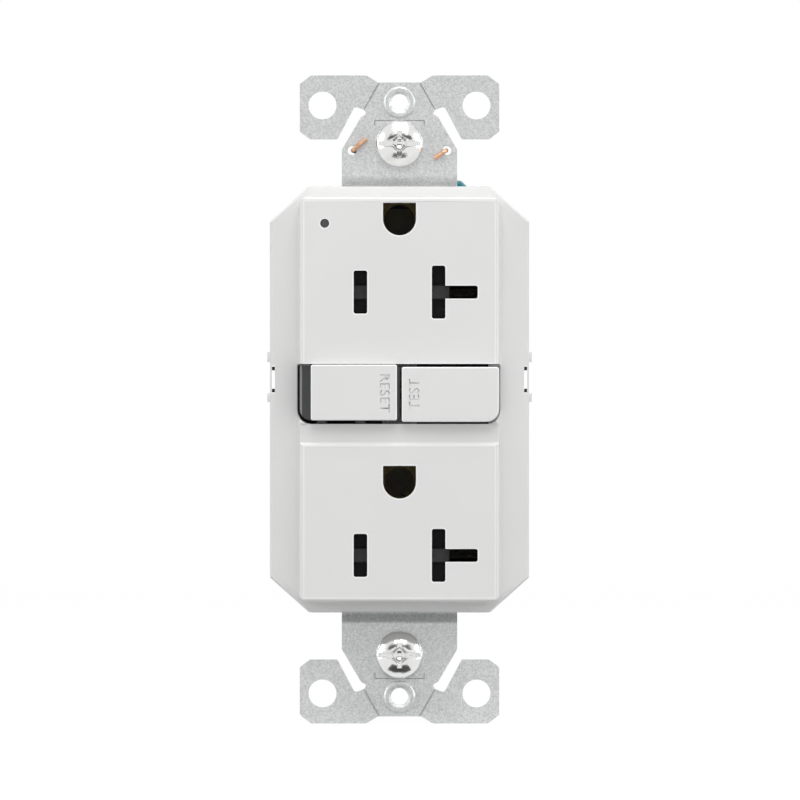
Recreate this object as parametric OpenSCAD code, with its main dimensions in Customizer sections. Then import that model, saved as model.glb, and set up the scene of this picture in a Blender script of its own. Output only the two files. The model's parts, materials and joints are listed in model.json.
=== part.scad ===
// Arc-fault duplex receptacle, 20 A, with tamper-resistant shutters and two push paddles.
// Frame: X to the right, Z up along the length, the face looks towards -Y.
// The origin lies midway between the two box screws, on the wall plane (the backs of the ears).

/* [Strap] */
// Thickness of the steel strap
strap_t = 1.2; // [1:0.1:1.4]
// Spacing of the two box screws
box_pitch = 83.34; // [82.5:0.02:84]
// Spacing of the two wall-plate screw holes
plate_pitch = 96.84; // [96.4:0.02:97.4]
// Width over the plaster ears
ear_w = 32.5; // [31:0.1:34]
// Outer end of the ears, from the centre
ear_top = 52.8; // [52:0.1:54]
// Inner end of the ears, from the centre
ear_low = 42.4; // [42:0.1:43]
// Distance of an ear hole from the centre line
ear_hole_x = 12.55; // [12:0.05:13]
// Radius of an ear hole
ear_hole_r = 2.28; // [2:0.02:2.6]
// Radius of the tapped wall-plate holes
plate_hole_r = 1.4; // [1.2:0.05:1.6]
// Half width of the strap between the ears and the cover
neck_x = 9.4; // [9:0.1:9.8]
// Half width of the strap's spine behind the outlets
spine_x = 2.8; // [2.4:0.1:3]
// Radius of the self-grounding wire
wire_r = 0.36; // [0.3:0.01:0.4]

/* [Screws] */
// Radius of a box screw's head
box_head_r = 3.88; // [3.4:0.01:4.2]
// Height of a box screw's domed head
box_head_h = 2.3; // [1.9:0.1:2.6]
// Radius of a box screw's shank, as a 6-32 screw
box_shank_r = 1.75; // [1.6:0.05:1.9]
// Length of a box screw's shank
box_shank_l = 25.4; // [19:0.1:32]
// Radius of a terminal screw's head
term_head_r = 3.7; // [3.3:0.1:4]
// Height of a terminal screw's head
term_head_h = 2.2; // [1.8:0.1:2.4]
// Radius of a terminal screw's shank
term_shank_r = 1.9; // [1.6:0.05:2]
// Length of a terminal screw's shank
term_shank_l = 5.2; // [4.8:0.1:5.6]
// Radius of the ground screw's head
ground_head_r = 3.9; // [3.5:0.1:4]
// Height of the ground screw's head
ground_head_h = 2.6; // [2.2:0.1:2.8]
// Radius of the four long assembly screws
long_screw_r = 1.2; // [1.1:0.05:1.3]

/* [Cover] */
// Width of the cover's flange
flange_w = 42.2; // [41.8:0.1:42.6]
// Height of the cover's flange
flange_h = 69.4; // [69:0.1:70]
// Thickness of the flange at its rim
flange_t = 2.85; // [2.6:0.05:3]
// Width of the raised face at its foot
face_w = 33; // [32.8:0.1:33.4]
// Height of the raised face at its foot
face_h = 66.4; // [66:0.1:66.8]
// How far the face stands in front of the wall plane
face_out = 8.2; // [8:0.1:8.6]
// Thickness of the face
face_t = 2; // [1.8:0.1:2.1]
// Thickness of the cover's upright walls
wall_t = 2; // [1.8:0.1:2.2]
// Corner radius of the face
face_r = 2.4; // [1:0.05:2.8]

/* [Outlets] */
// Height of the upper blade slots
blade_z_up = 17.43; // [17.2:0.01:17.6]
// Height of the lower blade slots
blade_z_low = -25.33; // [-25.5:0.01:-25.1]
// Spacing of the two blade slots of an outlet
blade_pitch = 12.7; // [12.5:0.05:12.9]
// Height of the ground hole above its blade slots
ground_up = 11.89; // [11.7:0.01:12]
// Width of a blade slot
slot_w = 2.2; // [2:0.02:2.3]
// Height of the hot slot
hot_slot_h = 7; // [6.8:0.1:7.4]
// Height of the neutral slot's upright bar
neutral_slot_h = 8.6; // [8.2:0.1:8.8]
// Reach of the neutral slot's level bar from the upright bar's middle
neutral_bar = 6.35; // [6:0.05:6.6]
// Radius of the ground hole
ground_r = 2.68; // [2.55:0.01:2.8]
// Radius of the indicator hole
lamp_r = 0.73; // [0.6:0.01:0.9]

/* [Buttons] */
// Left end of the button opening
open_x0 = -16.65; // [-16.9:0.05:-16.6]
// Right end of the button opening
open_x1 = 16.4; // [16.35:0.05:16.6]
// Bottom of the button opening
open_z0 = -3.99; // [-4.2:0.01:-3.9]
// Top of the button opening
open_z1 = 5.78; // [5.7:0.01:6]
// Radius of the opening's lower corners
open_r = 2.2; // [1.8:0.1:2.6]
// Left end of the reset paddle
reset_x0 = -14.4; // [-14.6:0.05:-14.2]
// Gap between the two paddles
paddle_gap = 0.77; // [0.7:0.01:0.9]
// How far the paddles stand in front of the wall plane
paddle_out = 9.75; // [9.5:0.05:10]
// Height of the crown across a paddle
paddle_crown = 0.35; // [0.2:0.05:0.5]
// Travel of a paddle when it is pressed
press_travel = 1.5; // [1.2:0.1:1.5]

/* [Housing] */
// Width of the rear housing
housing_w = 40.4; // [40.2:0.1:40.5]
// Height of the rear housing
housing_h = 66.8; // [66.6:0.1:67.2]
// Depth of the rear housing behind the wall plane
housing_d = 28; // [27.6:0.1:29]
// Thickness of the housing's side walls
housing_t = 2; // [1.8:0.1:2.1]
// Thickness of the housing's back wall
back_t = 2.5; // [2.2:0.1:2.6]
// Radius of the wire holes in the back wall
wire_hole_r = 1.45; // [1.3:0.05:1.5]
// Height of the terminals above and below the centre
term_z = 14; // [13.8:0.1:14.2]

/* [Insides] */
// Thickness of the insulating deck
deck_t = 1.4; // [1.2:0.1:1.5]
// Front of the contact tray's floor, behind the wall plane
floor_y = 11.2; // [11.1:0.1:11.5]
// Thickness of the contact tray's floor
floor_t = 1.2; // [1:0.1:1.3]
// Front of the circuit board, behind the wall plane
board_y = 14.6; // [14.5:0.1:14.8]
// Thickness of the circuit board
board_t = 1.6; // [1.4:0.1:1.7]
// Thickness of the brass strips
brass_t = 0.8; // [0.7:0.05:0.9]
// Travel of a shutter from shut to open
shutter_travel = 3; // [2.8:0.1:3.1]
// Thickness of a shutter
shutter_t = 2.3; // [2.1:0.1:2.4]
// Travel of the contact lifter when the device trips
lifter_travel = 1.2; // [1:0.1:1.2]
// Travel of the solenoid's plunger
plunger_travel = 1.8; // [1.5:0.1:1.9]
// Radius of the solenoid's winding
winding_r = 4.2; // [4:0.05:4.3]
// Outer radius of a sensor coil
coil_r = 8.4; // [8:0.1:8.5]
// Inner radius of a sensor coil
coil_bore_r = 4.1; // [3.9:0.05:4.3]

/* [Hidden] */
$fn = 48;
eps = 0.01;
gap = 0.1; // running clearance between plain faces
fit = 0.05; // radial clearance of a shaft in its bore

// planes behind (+) and in front of (-) the wall plane
face_y = -face_out;
face_in = -(face_out - face_t);
deck_y1 = strap_t + deck_t;
floor_y1 = floor_y + floor_t;
board_y1 = board_y + board_t;
back_in = housing_d - back_t;
shutter_y = face_in + gap;
retainer_y = shutter_y + shutter_t + gap;
retainer_t = 0.8;
rail_in = neutral_slot_h / 2 + 1.2;
rail_t = 1;

// outlets, posts and the mechanism
hot_x = -blade_pitch / 2;
neutral_x = blade_pitch / 2;
outlet_z = [blade_z_up, blade_z_low];
ground_z = [blade_z_up + ground_up, blade_z_low + ground_up];
box_z = box_pitch / 2;
plate_z = plate_pitch / 2;
cavity_x = face_w / 2 - wall_t;
cavity_z = face_h / 2 - wall_t;
inner_x = housing_w / 2 - housing_t;
inner_z = housing_h / 2 - housing_t;
post_up = [cavity_x - 1.3, cavity_z - 6.3];
post_low = [cavity_x - 0.4, 0.1 - cavity_z];
posts = [for (p = [post_up, post_low], s = [1, -1]) [s * p[0], p[1]]];
post_r = 1.9;
lamp_at = [-12.15, 28.6];
mech_x = -5.5; // reset stem, latch, plunger and solenoid
mech_z = 1;
test_x = 8.2;
jog_z = 35.05; // where the strap steps from its middle plane towards the ears
ground_at = [neck_x, 6.5, 31.9]; // ground screw, under its head
pocket_x = 4.4; // corner pocket for the ground screw
pocket_z = 27.2;
pocket_y = 11;

// shapes that repeat
module plate(y0, y1) { translate([0, y1, 0]) rotate([90, 0, 0]) linear_extrude(y1 - y0) children(); }
module slab(x0, x1, y0, y1, z0, z1) { translate([x0, y0, z0]) cube([x1 - x0, y1 - y0, z1 - z0]); }
module rod_y(x, z, y0, y1, r) { translate([x, y1, z]) rotate([90, 0, 0]) cylinder(h = y1 - y0, r = r); }
module rod_x(x0, x1, y, z, r) { translate([x0, y, z]) rotate([0, 90, 0]) cylinder(h = x1 - x0, r = r); }
module rod_z(x, y, z0, z1, r) { translate([x, y, z0]) cylinder(h = z1 - z0, r = r); }
module run_x(w) { rotate([90, 0, 90]) linear_extrude(2 * w, center = true) children(); } // draws (y, z)
module rounded_rect(w, h, r) {
    square([w - 2 * r, h], center = true);
    square([w, h - 2 * r], center = true);
    for (sx = [-1, 1], sz = [-1, 1]) translate([sx * (w / 2 - r), sz * (h / 2 - r)]) circle(r);
}
// a corner of an outline, as an arc that touches both edges
function arc_at(a, b, c, r) = r == 0 ? [b] :
    let (u = (a - b) / norm(a - b), v = (c - b) / norm(c - b), half = acos(u * v) / 2)
    let (mid = b + (u + v) / norm(u + v) * r / sin(half))
    let (from = b + u * r / tan(half) - mid, to = b + v * r / tan(half) - mid)
    let (start = atan2(from[1], from[0]), turn = (atan2(to[1], to[0]) - start + 540) % 360 - 180)
    let (steps = 5)
    [for (i = [0:steps]) mid + r * [cos(start + turn * i / steps), sin(start + turn * i / steps)]];
// an outline from points [x, y, corner radius]
function soft(p) = [for (i = [0:len(p) - 1])
    let (a = p[(i + len(p) - 1) % len(p)], b = p[i], c = p[(i + 1) % len(p)])
    each arc_at([a[0], a[1]], [b[0], b[1]], [c[0], c[1]], b[2])];
function flip(p) = [for (i = [len(p) - 1:-1:0]) [-p[i][0], p[i][1], p[i][2]]];
// a wire through rings of points, each ring turning the same way
module wire_skin(pts, sides) {
    last = len(pts) / sides - 1;
    skin = [for (i = [0:last - 1], k = [0:sides - 1])
        let (next = (k + 1) % sides)
        [i * sides + k, i * sides + next, (i + 1) * sides + next, (i + 1) * sides + k]];
    start = [for (k = [sides - 1:-1:0]) k];
    end = [for (k = [0:sides - 1]) last * sides + k];
    polyhedron(pts, concat([start], skin, [end]), convexity = 10);
}
// a coil spring along Z, from 0 to length
module coil(r, wire, length, turns) {
    per_turn = 12;
    sides = 6;
    rings = turns * per_turn;
    wire_skin([for (i = [0:rings], k = [0:sides - 1])
        let (a = 360 * i / per_turn, b = 360 * k / sides, d = r + wire * cos(b))
        [d * cos(a), d * sin(a), wire + (length - 2 * wire) * i / rings + wire * sin(b)]], sides);
}
// a bend of a wire, which starts a distance k before the corner at b
function bend(a, b, c, k) = let (u = b + (a - b) / norm(a - b) * k, v = b + (c - b) / norm(c - b) * k)
    [for (t = [0:0.25:1]) (1 - t) * (1 - t) * u + 2 * t * (1 - t) * b + t * t * v];
// a wire through points, with its bends eased
module strand(pts, r) {
    sides = 8;
    end = len(pts) - 1;
    bends = [for (i = [1:end - 1]) each bend(pts[i - 1], pts[i], pts[i + 1], 0.6)];
    path = concat([pts[0]], bends, [pts[end]]);
    last = len(path) - 1;
    wire_skin([for (i = [0:last])
        let (t = path[min(i + 1, last)] - path[max(i - 1, 0)], a = cross([0, 0, 1], t))
        let (u = a / norm(a), v = cross(u, t) / norm(t))
        for (k = [0:sides - 1]) path[i] + r * (u * cos(360 * k / sides) + v * sin(360 * k / sides))], sides);
}

// the cover: a raised face on a flange, drafted and softened at every edge
flange_half = flange_w / 2;
flange_top = flange_h / 2;
flange_cut = [4.3, 4.8]; // what each corner loses, across and up
module flange_outline() {
    right = [[flange_half - flange_cut[0], -flange_top, 6.3], [flange_half, -flange_top + flange_cut[1], 3],
        [flange_half, flange_top - flange_cut[1], 3], [flange_half - flange_cut[0], flange_top, 6.3]];
    polygon(soft(concat(right, flip(right))));
}
// a slab seen from its end: flat inside, sloping and softened towards its rim at distance d
module rim_profile(d) {
    lip = 0.75;
    fall = 0.35; // how far the flange's front slopes down to the rim
    polygon([[-d, 0], [-d, -flange_t + lip], [-d + 0.35 * lip, -flange_t + 0.25 * lip],
        [-d + 1.4 * lip, -flange_t], [-face_w / 2, -flange_t - fall], [face_w / 2, -flange_t - fall],
        [d - 1.4 * lip, -flange_t], [d - 0.35 * lip, -flange_t + 0.25 * lip], [d, -flange_t + lip], [d, 0]]);
}
module flange_body() {
    diag = atan2(flange_cut[0], flange_cut[1]);
    reach = flange_half * cos(diag) + (flange_top - flange_cut[1]) * sin(diag);
    intersection() {
        plate(-flange_t - 0.5, 0) flange_outline();
        linear_extrude(2 * flange_h, center = true) rim_profile(flange_half);
        rotate([0, 90, 0]) linear_extrude(2 * flange_h, center = true) rim_profile(flange_top);
        rotate([0, 90 - diag, 0]) linear_extrude(2 * flange_h, center = true) rim_profile(reach);
        rotate([0, diag - 90, 0]) linear_extrude(2 * flange_h, center = true) rim_profile(reach);
    }
}
// the raised face seen from its end, with draft and softened edges
module face_profile(w) {
    draft = 0.3;
    soften = 0.6;
    polygon(soft([[-w / 2, 0, 0], [-w / 2 + draft, face_y, soften],
        [w / 2 - draft, face_y, soften], [w / 2, 0, 0]]));
}
module face_body() {
    intersection() {
        plate(face_y, 0) rounded_rect(face_w, face_h, face_r);
        linear_extrude(2 * face_h, center = true) face_profile(face_w);
        rotate([0, 90, 0]) linear_extrude(2 * face_w, center = true) face_profile(face_h);
    }
}
module ground_shape(r) {
    circle(r);
    translate([-r, 0]) square([2 * r, r - 0.03]);
}
module blade_shapes(grow = 0) {
    translate([hot_x, 0]) rounded_rect(slot_w + 2 * grow, hot_slot_h + 2 * grow, 0.35);
    translate([neutral_x, 0]) rounded_rect(slot_w + 2 * grow, neutral_slot_h + 2 * grow, 0.35);
    translate([neutral_x + neutral_bar / 2, 0])
        rounded_rect(neutral_bar + 2 * grow, slot_w - 0.1 + 2 * grow, 0.35);
}
module button_opening() {
    polygon(soft([[open_x0, open_z1, 0.3], [open_x0, open_z0, open_r],
        [open_x1, open_z0, open_r], [open_x1, open_z1, 0.3]]));
}
valley_z = -7.45; // lower edge of the sunk band under the paddles
valley_deep = 0.45;
latch_z = [-0.4, 7.7]; // side latch, lower and upper end
latch_slot = [1, 5.5]; // window beside it, lower and upper end
latch_out = 0.45; // how far the latch bumps stand out of the flange
module front_cover() {
    color("white") difference() {
        union() {
            difference() {
                union() {
                    flange_body();
                    face_body();
                    cover_foot();
                }
                slab(-cavity_x, cavity_x, face_in, strap_t + eps, -cavity_z, cavity_z);
            }
            intersection() {
                cover_insides();
                union() {
                    plate(face_y, 0) rounded_rect(face_w - eps, face_h - eps, face_r);
                    cover_foot();
                }
            }
            for (sx = [-1, 1]) side_bumps(sx);
        }
        for (sz = [-1, 1]) slab(-neck_x - 0.2, neck_x + 0.2, 0, strap_t + 1, sz * 34 - 7.2, sz * 34 + 7.2);
        plate(face_y - 1, -flange_t) button_opening();
        run_x(face_w) polygon([[face_y - 1, valley_z - 1], [face_y + valley_deep, valley_z + valley_deep],
            [face_y + 0.25, open_z0 + 0.1], [face_y - 1, open_z0 + 0.1]]);
        for (z = outlet_z) translate([0, 0, z]) plate(face_y - 1, face_in + eps) blade_shapes();
        for (z = ground_z) {
            translate([0, 0, z]) plate(face_y - 1, 0) ground_shape(ground_r);
            rod_y(0, z, -contact_flange_t, strap_t + 1, contact_flange_r + gap);
        }
        rod_y(lamp_at[0], lamp_at[1], face_y - 1, 0, lamp_r);
        for (p = posts) rod_y(p[0], p[1], face_in + 0.9, strap_t + 1, long_screw_r + fit);
        for (sx = [-1, 1]) translate([sx * (flange_half - 0.525), 0, 0])
            slab(-0.275, 0.275, -flange_t - 1, 1, latch_slot[0], latch_slot[1]);
    }
}
// the cover's foot, which stands on the deck inside the housing
module cover_foot() {
    plate(-eps, strap_t) intersection() {
        square([face_w, face_h], center = true);
        housing_outline(housing_t + gap);
    }
}
// shutter rails, ground tubes, screw posts and the walls beside the paddles
module cover_insides() {
    for (z = outlet_z, s = [-1, 1]) translate([0, 0, z + s * (rail_in + rail_t / 2)])
        slab(-cavity_x - 0.5, cavity_x + 0.5, face_in - 0.5, retainer_y + retainer_t,
            -rail_t / 2, rail_t / 2);
    for (z = ground_z) translate([0, 0, z])
        plate(face_in - 0.5, -contact_flange_t) ground_shape(ground_r + 1);
    for (p = posts) rod_y(p[0], p[1], face_in - 0.5, strap_t, post_r);
    for (z = [open_z1, open_z0 - 1.4])
        slab(-cavity_x - 0.5, cavity_x + 0.5, face_in - 0.5, -1, z, z + 1.4);
}
module side_bumps(sx) {
    for (z = [[latch_z[0], latch_slot[0]], [latch_slot[1] + 0.6, latch_z[1]]])
        translate([sx * (flange_half + latch_out / 2 - 0.2), 0, 0])
            slab(-latch_out / 2 - 0.2, latch_out / 2 + 0.2, -flange_t + 0.75, 0, z[0], z[1]);
}

// the steel strap: a side profile with two steps, cut to the front outline
slot_foot = [10.14, ear_low]; // where the slot beside the neck opens
module ear_outline() {
    half = ear_w / 2;
    right = [[neck_x, ear_low - 12, 0], [neck_x, ear_low - 1.7, 0.6], [6.3, ear_low + 3.6, 0.15],
        [5.42, ear_low + 4.1, 0.25], [5.75, ear_low + 4.8, 0.15], [7.3, ear_low + 5.35, 0.5],
        [slot_foot[0], slot_foot[1], 0.3],
        [half - 1.65, ear_low, 0.4], [half, ear_low + 1.25, 0.4],
        [half, ear_top - 1.4, 0.4], [half - 1.85, ear_top, 0.4],
        [5.4, ear_top, 1.6], [3.5, ear_top - 1.15, 0.6]];
    difference() {
        polygon(soft(concat(right, flip(right))));
        for (s = [-1, 1]) {
            translate([s * ear_hole_x, plate_z - 0.5]) circle(ear_hole_r);
            translate([s * 1.2, box_z]) circle(box_shank_r + 0.25);
        }
        translate([0, box_z]) square([2.4, 2 * box_shank_r + 0.5], center = true);
        translate([0, plate_z]) circle(plate_hole_r);
    }
}
// a thin pressed line beyond the box screw, with its ends hooked towards the screw
module pressed_line() {
    line = 0.16;
    half = 4.1;
    translate([-half, box_z + 3.7]) square([2 * half, line]);
    for (s = [-1, 1]) translate([s * (half - line / 2) - line / 2, box_z + 2.9]) square([line, 0.9]);
}
module strap_outline() {
    ear_outline();
    mirror([0, 1]) ear_outline();
    translate([-neck_x, pocket_z + 0.4]) square([2 * neck_x, ear_low - 10 - pocket_z]);
    square([2 * spine_x, 2 * pocket_z + 8], center = true);
    for (z = ground_z) translate([0, z]) circle(contact_flange_r + 0.6);
}
contact_flange_r = 3.6;
contact_flange_t = 0.7;
contact_tube_r = 3; // outside of a ground contact's fingers
module mounting_strap() {
    t = strap_t;
    ease = 0.8; // radius of the bends
    above = [[t, jog_z + 0.4 * t, ease], [0, jog_z + 1.4 * t, ease], [0, ear_top, 0], [-t, ear_top, 0],
        [-t, jog_z + t, ease], [0, jog_z, ease]];
    side = concat(above, [for (i = [len(above) - 1:-1:0]) [above[i][0], -above[i][1], above[i][2]]]);
    color("lightgray") difference() {
        union() {
            intersection() {
                plate(-2 * t, 2 * t) strap_outline();
                run_x(ear_w) polygon(soft(side));
            }
            for (s = [-1, 1]) {
                plate_collar(s);
                rod_y(0, s * plate_z, -eps, 0.8, 2.2);
            }
            ground_tab();
        }
        for (s = [-1, 1]) rod_y(0, s * plate_z, -3, 3, plate_hole_r);
        for (z = ground_z) rod_y(0, z, -3, 3, contact_tube_r + fit);
        for (s = [-1, 1]) rod_y(s * (wire_x + 0.12), box_z - 1.1, -3, 3, wire_r + 0.38);
        for (s = [-1, 1], m = [0, 1]) mirror([m, 0, 0]) break_line(s);
        for (m = [0, 1]) mirror([0, 0, m]) plate(-t - 1, -t + 0.4) pressed_line();
        rod_x(ground_at[0] - 3, ground_at[0] + 3, ground_at[1], ground_at[2], term_shank_r + fit);
    }
}
// the raised, rounded lip round a wall-plate hole
module plate_collar(s) {
    rise = 0.35;
    translate([0, -strap_t, s * plate_z]) rotate([90, 0, 0]) rotate_extrude()
        polygon([[plate_hole_r, -eps], [2.6, -eps], [2.58, 0.1], [2.3, rise], [1.95, rise],
            [1.7, 0.2], [plate_hole_r, 0.1]]);
}
// the groove along which an ear snaps off
module break_line(s) {
    deep = 0.35;
    wide = s > 0 ? 0.2 : 0.3;
    translate([4.55, -strap_t, s * (ear_top - 3.4)]) rotate([0, -s * 29.3, 0])
        cube([wide, 2 * deep, 5.3], center = true);
}
// the strap's edge bent back to take the ground screw
module ground_tab() {
    half = 3;
    x = ground_at[0] - strap_t;
    slab(x, ground_at[0], 0, ground_at[1], ground_at[2] - half, ground_at[2] + half);
    rod_x(x, ground_at[0], ground_at[1], ground_at[2], half);
}

// a straight groove along x with sloped sides, sunk from y = 0
module groove(length, mouth, base, deep) {
    over = 0.4; // how far the cutter stands out of the surface
    spread = over * (mouth - base) / (2 * deep);
    run_x(length / 2) polygon([[-over, -mouth / 2 - spread], [deep, -base / 2], [deep, base / 2],
        [-over, mouth / 2 + spread]]);
}
// a square pit standing on its corner, a full-width slot, a short upright arm and a drilled point
module drive_recess() {
    pit_deep = 1.3;
    intersection_for(a = [-45, 45]) rotate([0, a, 0]) groove(6, 2.65, 1.7, pit_deep);
    groove(3 * box_head_r, 1, 0.8, 1.25);
    rotate([0, 90, 0]) groove(4.1, 0.9, 0.7, 0.9);
    rotate([90, 0, 0]) rotate_extrude()
        polygon([[0, eps - pit_deep], [0.8, eps - pit_deep], [0.8, -pit_deep], [0, -pit_deep - 0.45]]);
}
module box_screw(s) {
    cap = box_head_h - 0.7; // rise of the dome above the head's straight edge
    ball = (box_head_r * box_head_r + cap * cap) / (2 * cap);
    rim = [[0, 0, 0], [box_head_r, 0, 0], [box_head_r, 0.5, 0.3], [box_head_r - 0.25, 1, 0],
        [box_head_r - 1, 4, 0], [0, 4, 0]];
    color("silver") translate([0, -strap_t, s * box_z]) difference() {
        union() {
            rotate([90, 0, 0]) rotate_extrude() intersection() {
                translate([0, box_head_h - ball]) circle(ball);
                polygon(soft(rim));
            }
            rod_y(0, 0, -eps, box_shank_l, box_shank_r);
        }
        translate([0, -box_head_h, 0]) drive_recess();
    }
}
module box_screw_top() { box_screw(1); }
module box_screw_bottom() { box_screw(-1); }
// fibre washers that keep the box screws in the strap
module screw_retainers() {
    washer = [8.4, 7.4];
    color("saddlebrown") for (s = [-1, 1]) difference() {
        slab(-washer[0] / 2, washer[0] / 2, 0, 0.8, s * box_z - washer[1] / 2, s * box_z + washer[1] / 2);
        rod_y(0, s * box_z, -1, 2, box_shank_r + fit);
    }
}
// a copper wire threaded through the strap, bearing on the top screw
wire_x = 7.6;
module self_ground_wire() {
    z = box_z - 1.1;
    under = box_z - box_shank_r - wire_r - fit;
    front = -strap_t - wire_r - fit;
    back = 0.8 + wire_r + gap;
    color("peru") strand([[2.14 - wire_x, front, z + 1.9], [-wire_x, front, z], [-wire_x, back, z],
        [-4.6, back, z - 0.6], [0, back, under], [4.6, back, z - 0.6],
        [wire_x, back, z], [wire_x, front, z], [wire_x - 1.9, front, z - 1.3]], wire_r);
}
// the green ground screw, with its axis across the strap
module ground_screw() {
    cap = ground_head_h - 0.6; // rise of the dome above the head's straight edge
    ball = (ground_head_r * ground_head_r + cap * cap) / (2 * cap);
    color("teal") difference() {
        union() {
            rod_x(ground_at[0] - 4.5, ground_at[0] + eps, ground_at[1], ground_at[2], term_shank_r);
            translate(ground_at) rotate([0, 90, 0]) rotate_extrude() intersection() {
                translate([0, ground_head_h - ball]) circle(ball);
                square([ground_head_r, ground_head_h + 1]);
            }
        }
        translate([ground_at[0] + ground_head_h, ground_at[1], ground_at[2]]) side_recess();
    }
}
module side_recess() {
    cube([2.2, 1, 5.6], center = true);
    cube([2.2, 4.2, 1], center = true);
}
module assembly_screws() {
    color("dimgray") for (p = posts) difference() {
        union() {
            rod_y(p[0], p[1], face_in + 1.4, housing_d - 1.2, long_screw_r);
            rod_y(p[0], p[1], housing_d - 1.2, housing_d - 0.1, 2.2);
        }
        translate([p[0], housing_d, p[1]]) {
            cube([3.2, 1.4, 0.7], center = true);
            cube([0.7, 1.4, 3.2], center = true);
        }
    }
}

// one ground contact: a flanged brass tube, split into four fingers that narrow at the mouth
contact_len = 8.6;
pin_r = 2.42;
module ground_contact(z) {
    color("goldenrod") difference() {
        union() {
            rod_y(0, z, -contact_flange_t, 0, contact_flange_r);
            rod_y(0, z, -eps, contact_len, contact_tube_r);
        }
        rod_y(0, z, -contact_flange_t - 1, contact_len + 1, pin_r);
        for (a = [45, 135]) translate([0, contact_len / 2 + 1.6, z]) rotate([0, a, 0])
            cube([0.6, contact_len, 8], center = true);
    }
}
module upper_ground_contact() { ground_contact(ground_z[0]); }
module lower_ground_contact() { ground_contact(ground_z[1]); }

// everything inside the housing stops short of the corner that holds the ground screw
module less_pocket(y0, y1, margin = 0) {
    difference() {
        children();
        slab(pocket_x - margin, housing_w, y0 - 1, y1, pocket_z - margin, housing_h);
    }
}
// insulating deck under the strap, with mouths for the contacts and holes for the stems
module insulating_deck() {
    color("dimgray") less_pocket(strap_t, deck_y1 + 1) difference() {
        plate(strap_t, deck_y1) housing_outline(housing_t + gap);
        for (z = outlet_z) translate([0, 0, z]) plate(0, deck_y1 + 1) contact_mouths();
        for (z = ground_z) rod_y(0, z, 0, deck_y1 + 1, contact_tube_r + 0.3);
        for (p = posts) rod_y(p[0], p[1], 0, deck_y1 + 1, long_screw_r + 0.2);
        rod_y(mech_x, mech_z, 0, deck_y1 + 1, stem_r + fit);
        rod_y(test_x, mech_z, 0, deck_y1 + 1, test_stem_r + fit);
        rod_y(lamp_at[0], lamp_at[1], 0, deck_y1 + 1, pipe_r + fit);
    }
}
module contact_mouths() {
    translate([hot_x, 0]) square([slot_w + 2.6, hot_slot_h + 1.6], center = true);
    translate([neutral_x + 1.4, 0]) square([slot_w + 5.4, neutral_slot_h + 0.6], center = true);
    translate([neutral_x + neutral_bar / 2 + 0.6, 0]) square([neutral_bar + 2.2, 5.2], center = true);
}
stem_r = 1.4;
test_stem_r = 1.2;
pipe_r = 0.65;

// the rear housing: a deep box that carries the tray on its screw posts
housing_cut = 5.2; // what each corner loses
module housing_outline(inset) {
    w = housing_w / 2 - inset;
    h = housing_h / 2 - inset;
    cut = housing_cut - 0.586 * inset;
    right = [[w - cut, -h, 3], [w, -h + cut, 2], [w, h - cut, 2], [w - cut, h, 3]];
    polygon(soft(concat(right, flip(right))));
}
term_x = inner_x - 3.4; // inner face of a terminal plate
term_t = 1;
term_y = (floor_y1 + 1.6 + back_in) / 2 - 0.25; // terminal screws, behind the wall plane
term_half = 4.7; // half height of a terminal plate
clamp_t = 1.2;
clamp_x = term_x + term_t;
clamp_y = [term_y - 4, term_y + 4.5]; // front and back of a clamp
wire_off = term_half - 1.35; // wire holes, above and below the screw
chamber = term_half + 0.3;
module rear_housing() {
    color([0.17, 0.18, 0.2]) difference() {
        union() {
            difference() {
                plate(0, housing_d) housing_outline(0);
                plate(-1, back_in) housing_outline(housing_t);
                slab(pocket_x, housing_w, -1, pocket_y, pocket_z, housing_h);
            }
            intersection() {
                plate(0, housing_d) housing_outline(0);
                housing_insides();
            }
            for (m = [0, 1], z = [latch_slot[0] + 0.15, latch_slot[1] - 0.75]) mirror([m, 0, 0])
                translate([housing_w / 2, 0, z]) slab(-0.1, 0.6, 0.3, 2.3, 0, 0.6);
        }
        for (s = [-1, 1]) translate([0, 0, s * housing_h / 2])
            slab(-neck_x - 0.2, neck_x + 0.2, -1, strap_t, -3, 3);
        rod_y(0, ground_z[0], -1, well_y, contact_tube_r + 0.15);
        for (sx = [-1, 1], sz = [-1, 1]) translate([sx * housing_w / 2, 0, sz * term_z]) {
            slab(-housing_t - 1, housing_t + 1, floor_y1 + 1.6, back_in, -chamber, chamber);
            for (w = [-1, 1]) translate([sx * (clamp_x + 1.1 - housing_w / 2), 0, w * wire_off])
                rod_y(0, 0, back_in - 1, housing_d + 1, wire_hole_r);
        }
        for (p = posts) {
            rod_y(p[0], p[1], 0, housing_d + 1, long_screw_r + 0.2);
            rod_y(p[0], p[1], housing_d - 1.2, housing_d + 1, 2.4);
        }
    }
}
module housing_insides() {
    for (p = posts) {
        rod_y(p[0], p[1], board_y1, back_in + 0.5, 3);
        rod_y(p[0], p[1], floor_y1, board_y1 + 0.5, 2.2);
    }
    for (sx = [-1, 1], sz = [-1, 1], e = [-1, 1])
        mirror([sx < 0 ? 1 : 0, 0, 0]) translate([0, 0, sz * term_z + e * (chamber + 0.5)])
            slab(term_x - 1, inner_x + 0.5, board_y1 + 0.2, back_in - 2.2, -0.5, 0.5);
    slab(pocket_x + gap, housing_w, pocket_y, pocket_y + 1.2, pocket_z + gap, housing_h);
}

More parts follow.
